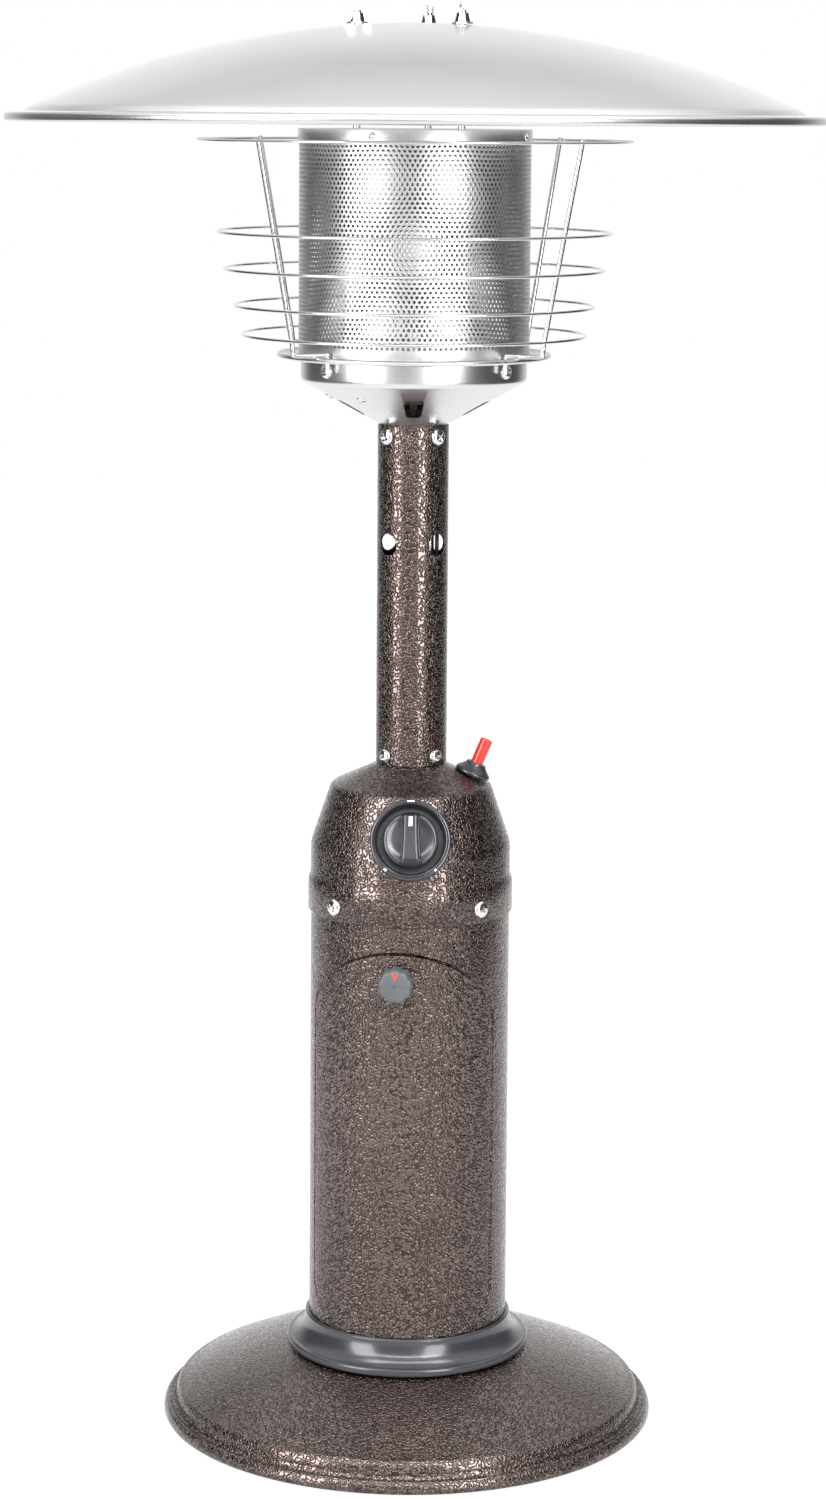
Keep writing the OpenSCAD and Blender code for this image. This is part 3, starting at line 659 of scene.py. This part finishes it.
def cross_head():
    """Points and faces of a cross-recess pan head: radius 1, height 0.5."""
    profile = [
        (0, 0.5), (0.28, 0.485), (0.5, 0.45), (0.7, 0.385), (0.86, 0.28), (0.96, 0.15), (1.0, 0.04),
        (1.0, 0.0), (0, 0.0),
    ]
    mat = MATERIALS["screw_steel"]
    head = mesh_from("head_blank", *lathe_data(profile, 48), mat)
    point, mouth = (0.12, 0.2, 0.05), (0.7, 0.72, 0.17)
    blade = [(x, y, z) for z, length, width in (point, mouth) for x, y in rectangle(length, width)]
    cutters = [mesh_from("cutter", placed(blade, turn_z(a)), stacked_faces(2, 4), mat) for a in (0, 90)]
    return cut_away(head, cutters)


def screw_set(node_name, frames, radius, height, length, head, seed):
    """All the screws of one CAD node in one mesh, each turned to its own angle."""
    dice = random.Random(seed)
    head_verts, head_faces = head
    shank_verts, shank_faces = lathe_data(wall_profile(0, SCREW_SHANK_R, -length, 0), 20)
    size = Matrix.Diagonal((radius, radius, height * 2, 1))
    parts = []
    for place in frames:
        turn = place @ Matrix.Rotation(dice.uniform(0, math.pi), 4, "Z")
        parts.append((placed(head_verts, turn @ size), head_faces))
        parts.append((placed(shank_verts, turn), shank_faces))
    obj = joined(node_name + "_set", parts, MATERIALS["screw_steel"], 38)
    show(obj, "stand", "screw_steel", node_name)


def build_screws():
    """Four rings of screws: node, angles, wall, height, head radius and height, length, seed."""
    head = cross_head()
    for name, angles, wall_r, z, radius, height, length, seed in (
        ("housing_screws", SCREW_ANGLES, SKIRT_R, 353, 5.7, 2.8, 8, 3),
        ("pole_bottom_screws", SCREW_ANGLES, POLE_R, 448, 4.8, 2.6, 4, 11),
        ("pole_top_screws", SCREW_ANGLES, POLE_R, 659, 5.4, 2.8, 4, 5),
        ("drum_screws", DRUM_SCREW_ANGLES, DRUM_R, 704, 4.9, 2.6, 5, 8),
    ):
        frames = [around(angle, wall_r + 0.05, z) for angle in angles]
        screw_set(name, frames, radius, height, length, head, seed)


# ---- control knob and bezel -------------------------------------------------

def build_bezel():
    """Round bezel with a well for the knob, and three marks on its rim."""
    profile = [
        (22.0, -14.0), (26.4, -14.0), (26.4, 2.2), (26.1, 2.9), (25.4, 3.4), (24.7, 3.5), (24.3, 4.1),
        (24.1, 4.7), (23.7, 5.0), (23.3, 4.8), (22.9, 3.4), (22.1, 2.4), (21.2, -3.7), (0, -3.8),
        (0, -5.0), (22.0, -5.0),
    ]
    verts, faces = lathe_data(profile, 144)
    bezel = mesh_from("knob_bezel_ring", placed(verts, CONTROL), faces, MATERIALS["black_plastic"], 40)
    show(bezel, "stand", "black_plastic", "knob_bezel")
    parts = []
    for angle, half_width, half_height in ((0, 2.4, 0.42), (-140, 0.7, 0.7), (140, 1.0, 0.8)):
        verts, faces = prism(rectangle(half_width, half_height), 3.36, 3.6)
        parts.append((placed(verts, turn_z(angle) @ Matrix.Translation((0, 25.25, 0))), faces))
    marks = joined("bezel_marks", parts, MATERIALS["white_mark"], place=CONTROL)
    show(marks, "stand", "white_mark")


def knob_ridge():
    """Points and faces of the knob's full-width grip, which narrows towards its pointer."""
    low_y, high_y = -17.6, 17.4
    plate_z, rise = 4.9, 7.1
    edge_r = 17.9
    count = 40
    verts = []
    for i in range(count + 1):
        y = low_y + (high_y - low_y) * i / count
        waist = 1 - 0.10 * math.sin(math.pi * i / count)
        half = (6.3 - 1.5 * i / count) * waist
        low_end = min(1.0, max(0.0, (y - low_y) / 4.4))
        high_end = min(1.0, max(0.0, (high_y - y) / 2.6))
        height = rise * min(low_end, high_end) ** 0.8
        top = plate_z + height
        drop = min(1.0, height / 3 + 0.05)
        flank = 5.3 if top > 5.4 else top * 0.98
        right = [
            (0, top - 0.2 * drop), (half - 2.2, top), (half - 1.4, top - 0.12 * drop),
            (half - 0.75, top - 0.4 * drop), (half - 0.25, top - 0.9 * drop), (half, top - 1.6 * drop),
            (half + 0.35, plate_z + height * 0.4), (half + 0.9, flank), (half + 1.2, plate_z),
            (half + 1.7, 4.0),
        ]
        left = [(-x, z) for x, z in right[:0:-1]]
        for x, z in left + right:
            shrink = min(1.0, edge_r / math.hypot(x, y))
            verts.append((x * shrink, y * shrink, z))
    return verts, stacked_faces(count + 1, 2 * len(right) - 1)


def build_knob():
    """A round plate with its stem and grip, and the pointer line on the grip."""
    plate = [
        (0, 0.2), (17.4, 0.2), (18.0, 0.8), (18.1, 2.6), (17.9, 3.4), (17.5, 4.0), (16.9, 4.5),
        (16.1, 4.82), (15.2, 4.9), (14.6, 4.5), (10, 4.6), (0, 4.8),
    ]
    parts = [lathe_data(plate, 128), lathe_data(wall_profile(0, 4, -25, 0.6), 48), knob_ridge()]
    knob = joined("control_knob_body", parts, MATERIALS["black_plastic"], 40, CONTROL)
    show(knob, "knob", "black_plastic", "control_knob")
    line = prism([(-1.35, 7.9), (1.15, 7.9), (1.35, 14.1), (-1.15, 14.1)], 11.4, 12.15)
    pointer = joined("knob_pointer_line", [line], MATERIALS["white_mark"], place=CONTROL)
    show(pointer, "knob", "white_mark", "knob_pointer")


# ---- igniter and door knob --------------------------------------------------

def build_igniter():
    """Conical collar on the housing's shoulder, and the stem that is pushed into it."""
    cone = [
        (4.3, -4), (6.8, -4), (6.8, 0.12), (11.2, 0.12), (11.9, 0.9), (11.9, 2.0), (11.2, 3.0),
        (8.8, 5.0), (6.9, 7.0), (6.3, 8.4), (4.3, 8.4),
    ]
    collar = turned("igniter_collar_cone", cone, MATERIALS["black_plastic"], 96, 0.4, IGNITER, 45)
    show(collar, "stand", "black_plastic", "igniter_collar")
    stem = [(0, -3.5), (4.15, -3.5), (4.15, 25), (3.2, 25), (3.0, 24.4), (0, 24.4)]
    button = turned("igniter_button_stem", stem, MATERIALS["red_plastic"], 48, 0.35, IGNITER)
    show(button, "button", "red_plastic", "igniter_button")


def build_door_knob():
    """Fluted knob with a dimple in its face and a red mark near its edge."""
    lobes = 9
    angles = np.linspace(0, TAU, 180, endpoint=False)
    flutes = [10.3 + abs(math.cos(lobes * a / 2)) ** 0.7 for a in angles]
    top = 12.5
    levels = [(0.6, 0.94), (1.3, 1.0), (10.4, 1.0), (11.4, 0.97), (12.1, 0.91), (top, 0.82)]
    rings = [(z, [r * size for r in flutes]) for z, size in levels]
    rings += [(top, [1.1] * len(angles)), (top - 0.5, [0.9] * len(angles))]
    verts = [(r * math.sin(a), r * math.cos(a), z) for z, radii in rings for a, r in zip(angles, radii)]
    # These rings run clockwise, so the faces are turned over.
    faces = [face[::-1] for face in stacked_faces(len(rings), len(angles))]
    parts = [(verts, faces), lathe_data(wall_profile(0, 3, -5.8, 0.8), 32)]
    knob = joined("door_knob_body", parts, MATERIALS["knob_plastic"], 35, DOOR_KNOB)
    show(knob, "latch", "knob_plastic", "door_knob")
    outline = [(-1.9, 8.6), (-1.2, 6.2), (-0.5, 4.4), (0.5, 4.4), (1.3, 6.2), (1.9, 8.6), (0, 9.0)]
    mark = joined("door_knob_mark", [prism(outline, top - 0.2, top + 0.04)], RED_MARK, place=DOOR_KNOB)
    show(mark, "latch", "red_plastic")


# ---- emitter ----------------------------------------------------------------

def perforated_band(name, first_row, rows, low_z):
    """Part of the punched cylinder: staggered round holes through a thin sheet."""
    corners = [(0.5, -0.5), (0.5, 0.5), (0.0, 0.5), (-0.5, 0.5), (-0.5, -0.5), (0.0, -0.5)]
    circle = arc(0, 0, HOLE_R, HOLE_R, range(0, 360, 30))
    points = {}
    verts = []

    def vertex(key, u, z, depth):
        """Number of the point at `u` round the cylinder, which neighbouring cells share by its key."""
        if key not in points:
            points[key] = len(verts)
            a = u / SCREEN_R
            r = SCREEN_R - depth
            verts.append((r * math.sin(a), -r * math.cos(a), z))
        return points[key]

    faces = []
    inside = []
    for row in range(rows):
        z = low_z + (row + 0.5) * HOLE_RISE
        shift = 0.5 * ((first_row + row) % 2)
        for col in range(HOLES_ACROSS):
            u = (col + shift) * HOLE_PITCH
            rims = []
            for layer, depth in ((0, 0.0), (1, STEEL_SHEET)):
                cell = []
                for cx, cz in corners:
                    half_steps = round(2 * (col + shift + cx)) % (2 * HOLES_ACROSS)
                    key = (layer, half_steps, row + (1 if cz > 0 else 0))
                    cell.append(vertex(key, u + cx * HOLE_PITCH, z + cz * HOLE_RISE, depth))
                rim = []
                for k, (du, dz) in enumerate(circle):
                    rim.append(vertex((layer, "hole", row, col, k), u + du, z + dz, depth))
                for i in range(6):
                    near = [rim[k] for k in (2 * i + 1, 2 * i, 2 * i - 1)]
                    face = [cell[i], cell[(i + 1) % 6]] + near
                    faces.append(face if layer == 0 else face[::-1])
                    inside.append(layer)
                rims += rim
            faces += [[rims[i] for i in face] for face in ring_faces(0, len(circle), len(circle))]
            inside += [0] * len(circle)
    band = mesh_from(name, verts, faces, MATERIALS["screen_steel"], 40)
    band.data.materials.append(SCREEN_INSIDE_SHADE)
    # Faces of the inner layer take the darker steel: painted shade seen through the holes.
    for face in band.data.polygons:
        face.material_index = inside[face.index]
    return band


def build_screen():
    """Three punched bands, with a plain hem below and above them."""
    bands, rows = 3, 15
    for band in range(bands):
        low_z = HOLE_ROWS_LOW_Z + band * rows * HOLE_RISE
        obj = perforated_band("emitter_screen_%d" % band, band * rows, rows, low_z)
        replaced = ["emitter_screen"] if band == 0 else []
        show(obj, "stand", "screen_steel", *replaced)
    high_z = HOLE_ROWS_LOW_Z + bands * rows * HOLE_RISE
    inner = SCREEN_R - STEEL_SHEET
    hem_heights = ((FLANGE_Z + 0.1, HOLE_ROWS_LOW_Z), (high_z, EMITTER_TOP - 1.1))
    parts = [lathe_data(wall_profile(inner, SCREEN_R, low, high), 192) for low, high in hem_heights]
    hems = joined("emitter_screen_hems", parts, MATERIALS["screen_steel"], 40)
    show(hems, "stand", "screen_steel")


def build_burner_housing():
    """Drum, cone and neck in one spun shell, with four keystone windows that let in air."""
    foot_z = 648
    top_z = FLANGE_Z - 1.5
    outer = [
        (DRUM_R, top_z), (DRUM_R, DRUM_LOW_Z + 2.4), (DRUM_R - 0.25, DRUM_LOW_Z + 0.9),
        (DRUM_R - 0.8, DRUM_LOW_Z - 0.5), (DRUM_R - 1.6, DRUM_LOW_Z - 1.5),
        (DRUM_R - 2.7, DRUM_LOW_Z - 2.3), (NECK_R + 1.9, POLE_TOP_Z + 1.4),
        (NECK_R + 0.6, POLE_TOP_Z + 0.6), (NECK_R, POLE_TOP_Z - 1), (NECK_R, foot_z),
    ]
    inner = [(r - STEEL_SHEET, z + STEEL_SHEET * 0.5) for r, z in reversed(outer)]
    inner[0] = (NECK_R - STEEL_SHEET, foot_z)
    inner[-1] = (DRUM_R - STEEL_SHEET, top_z)
    mat = MATERIALS["spun_steel"]
    blank = mesh_from("burner_housing_blank", *lathe_data(outer + inner, 192), mat)
    cutters = []
    large, small = (7.0, 685.5), (6.4, 682.8)
    for angle, (top_half, top) in ((0, large), (72, small), (180, large), (-72, small)):
        corners = [(-4.6, 673), (4.6, 673), (top_half, top), (-top_half, top)]
        verts, faces = radial_prism(rounded(corners, 2.2, keep_axis=False), 5, 70)
        cutters.append(mesh_from("cutter", placed(verts, turn_z(angle)), faces, mat))
    shell = mesh_from("burner_housing_shell", *cut_away(blank, cutters), mat, 45)
    shell.data.materials.append(SCREEN_INSIDE_SHADE)
    # The inside, seen through the windows, gets the darker steel: painted shade.
    for face in shell.data.polygons:
        faces_axis = face.center.x * face.normal.x + face.center.y * face.normal.y < 0
        face.material_index = 1 if faces_axis else 0
    show(shell, "stand", "spun_steel", "burner_housing")


def build_cap():
    """Lid with a short band that goes round the top of the screen."""
    band_r = SCREEN_R + 0.8
    band_z = EMITTER_TOP - 8
    profile = [
        (0, EMITTER_TOP - 1), (SCREEN_R, EMITTER_TOP - 1), (SCREEN_R + 0.02, band_z), (band_r, band_z),
        (band_r, EMITTER_TOP), (0, EMITTER_TOP),
    ]
    cap = turned("emitter_cap_lid", profile, MATERIALS["spun_steel"], 192, 0.35)
    show(cap, "stand", "spun_steel", "emitter_cap")


def build_flange():
    """Flat ring with a rolled outer edge."""
    bead_r = 1.8
    bead = arc(FLANGE_R - bead_r, FLANGE_Z - 0.2, bead_r, bead_r, range(150, -211, -20))
    upper = [(DRUM_R - 6, FLANGE_Z), (FLANGE_R - 4.2, FLANGE_Z)]
    lower = [(FLANGE_R - 4.0, FLANGE_Z - 1), (DRUM_R - 6, FLANGE_Z - 1)]
    verts, faces = lathe_data(upper + bead + lower, 192)
    flange = mesh_from("burner_flange_ring", verts, faces, MATERIALS["spun_steel"], 50)
    show(flange, "stand", "spun_steel", "burner_flange")


def build_guard():
    """Five wire rings on four legs, whose feet turn in over the flange and down through it."""
    mat = MATERIALS["guard_chrome"]
    for number, (radius, height) in enumerate(RING_SIZES, 1):
        section = arc(radius, height, RING_WIRE, RING_WIRE, np.linspace(0, 360, 14, endpoint=False))
        ring = mesh_from("guard_wire_%d" % number, *lathe_data(section, 176), mat, 60)
        show(ring, "stand", "guard_chrome", "guard_ring_%d" % number)
    top_r, top_z = RING_SIZES[0]
    side = RING_WIRE + LEG_WIRE - 0.2
    low_r = RING_SIZES[-1][0] - side - 1.1
    foot = [
        (low_r, 10), (low_r - 0.8, 5.4), (low_r - 3.4, 3.4), (DRUM_R + 7, 2.6), (DRUM_R + 4.8, 1.6),
        (DRUM_R + 4.2, -1), (DRUM_R + 4.2, -9),
    ]
    curve = curve_points([(0, -r, FLANGE_Z + rise) for r, rise in foot], 5)
    verts, faces = sweep_data([(0, side - top_r, top_z + 1.6)] + curve, LEG_WIRE, 16)
    parts = [(placed(verts, turn_z(angle)), faces) for angle in LEG_ANGLES]
    legs = joined("guard_leg_wires", parts, mat, 60)
    show(legs, "stand", "guard_chrome", "guard_legs")


# ---- reflector --------------------------------------------------------------

def build_reflector():
    """Spun dome, a small step, and a rolled rim."""
    centre = REFLECTOR_TOP - REFLECTOR_SPHERE
    edge = REFLECTOR_R - 14
    dome = [(r, centre + math.sqrt(REFLECTOR_SPHERE ** 2 - r * r)) for r in np.linspace(0, edge, 49)]
    edge_z = dome.pop()[1]
    dome += [(edge - 4.0, edge_z + 1.75), (edge - 2.8, edge_z + 0.95), (edge, edge_z - 1.3)]
    step = [(edge + 0.5, edge_z - 1.8), (edge + 1.2, edge_z - 2.15), (edge + 2.6, edge_z - 2.35)]
    bead_r = 3.2
    bead = arc(REFLECTOR_R - bead_r, edge_z - 2.4 - bead_r, bead_r, bead_r, range(90, -227, -14))
    seam = [(edge + 1.6, edge_z - 3.3), (edge + 0.6, edge_z - 3.0)]
    under = [(max(r - 0.3, 0), z - STEEL_SHEET) for r, z in reversed(dome)]
    profile = dome + step + bead + seam + under
    verts, faces = lathe_data(profile, 288)
    reflector = mesh_from("reflector_dome", verts, faces, MATERIALS["spun_steel"], 55)
    show(reflector, "stand", "spun_steel", "reflector")


build_base()
build_collar()
build_tank_housing()
build_housing()
build_screws()
build_bezel()
build_knob()
build_igniter()
build_door_knob()
build_screen()
build_burner_housing()
build_cap()
build_flange()
build_guard()
build_reflector()

soften("access_door", 0.4, 3, 40)
soften("pole", 0.3, 2, 40)
soften("wing_nuts", 0.35, 3, 30)
soften("stud_washers", 0.2, 2, 30)
for small in ("reflector_studs", "cap_screws", "cone_screws", "pilot_assembly", "latch_cam"):
    soften(small, 0.12, 2, 30)


# ---- camera, light and floor ------------------------------------------------

def make_camera():
    """Slightly above the heater, a long way off, looking down a little."""
    data = bpy.data.cameras.new("camera")
    data.sensor_fit = "AUTO"
    data.sensor_width = 36.0
    data.lens = 86.3
    data.shift_y = -0.176
    cam = bpy.data.objects.new("camera", data)
    bpy.context.collection.objects.link(cam)
    look_down = 6
    pitch = Matrix.Rotation(math.radians(90 - look_down), 4, "X")
    cam.matrix_world = Matrix.Translation((0, -2.3524, 0.8724)) @ pitch @ turn_z(0.4)
    bpy.context.scene.camera = cam


def make_floor():
    """A floor that glows by emission in place of being lit: dimmer in front as painted shade, near the
    white of the background further back.
    """
    mesh = bpy.data.meshes.new("floor")
    half, front, back = 1.3, -2.2, 6.0
    corners = [(-half, front, 0), (half, front, 0), (half, back, 0), (-half, back, 0)]
    mesh.from_pydata(corners, [], [(0, 1, 2, 3)])
    floor = bpy.data.objects.new("floor", mesh)
    bpy.context.collection.objects.link(floor)
    mat, tree, shader = new_material("floor")
    coords = node(tree, "ShaderNodeTexCoord")
    split = node(tree, "ShaderNodeSeparateXYZ")
    link(tree, coords, "Object", split, "Vector")
    # Emission that stands in for light on the floor, weaker towards the front as painted shade.
    floor_glow = spread(tree, split, "Y", (front, -0.5), (0.6, 0.95), smooth=True)
    shader.inputs["Base Color"].default_value = (0.12, 0.12, 0.12, 1)
    shader.inputs["Roughness"].default_value = 0.9
    shader.inputs["Specular IOR Level"].default_value = 0.0
    shader.inputs["Emission Color"].default_value = (1, 1, 1, 1)
    link(tree, floor_glow, "Result", shader, "Emission Strength")
    mesh.materials.append(mat)


def make_light(name, size, place, aim, power):
    """A rectangular lamp at `place` that faces `aim`."""
    data = bpy.data.lights.new(name, "AREA")
    data.shape = "RECTANGLE"
    data.size, data.size_y = size
    data.energy = power
    lamp = bpy.data.objects.new(name, data)
    lamp.location = place
    lamp.rotation_euler = (Vector(aim) - Vector(place)).to_track_quat("-Z", "Y").to_euler()
    bpy.context.collection.objects.link(lamp)


def make_world():
    """A studio that is white behind and above, dark at the sides and half lit in front."""
    world = bpy.data.worlds.new("studio")
    bpy.context.scene.world = world
    world.use_nodes = True
    tree = world.node_tree
    tree.nodes.clear()
    coords = node(tree, "ShaderNodeTexCoord")
    split = node(tree, "ShaderNodeSeparateXYZ")
    link(tree, coords, "Generated", split, "Vector")
    behind = spread(tree, split, "Y", (0.66, 0.97), (0.06, 1.05), smooth=True)
    above = spread(tree, split, "Z", (0.40, 0.74), (0.0, 0.99), smooth=True)
    ahead = spread(tree, split, "Y", (-0.60, -0.93), (0.0, 0.48), smooth=True)
    ends = node(tree, "ShaderNodeMath", operation="MAXIMUM")
    link(tree, behind, "Result", ends, 0)
    link(tree, ahead, "Result", ends, 1)
    shade = node(tree, "ShaderNodeMath", operation="MAXIMUM")
    link(tree, ends, "Value", shade, 0)
    link(tree, above, "Result", shade, 1)
    lit = node(tree, "ShaderNodeBackground", Strength=1.0)
    link(tree, shade, "Value", lit, "Color")
    seen = node(tree, "ShaderNodeBackground", Color=(1, 1, 1, 1), Strength=1.0)
    path = node(tree, "ShaderNodeLightPath")
    mix = node(tree, "ShaderNodeMixShader")
    out = node(tree, "ShaderNodeOutputWorld")
    link(tree, path, "Is Camera Ray", mix, 0)
    tree.links.new(lit.outputs[0], mix.inputs[1])
    tree.links.new(seen.outputs[0], mix.inputs[2])
    tree.links.new(mix.outputs[0], out.inputs["Surface"])


make_camera()
make_floor()
make_world()
bpy.context.scene.view_settings.view_transform = "Standard"
make_light("softbox_left", (1.2, 2.4), (-1.92, -1.61, 1.15), (0, 0, 0.6), 74)
make_light("softbox_right", (1.0, 2.4), (1.26, -2.16, 1.15), (0, 0, 0.6), 62)
make_light("strip_front", (3.0, 0.3), (0, -2.1, 1.9), (0, 0, 0.4), 30)
make_light("strip_above", (2.4, 1.0), (0, -0.5, 2.6), (0, 0, 0.4), 60)
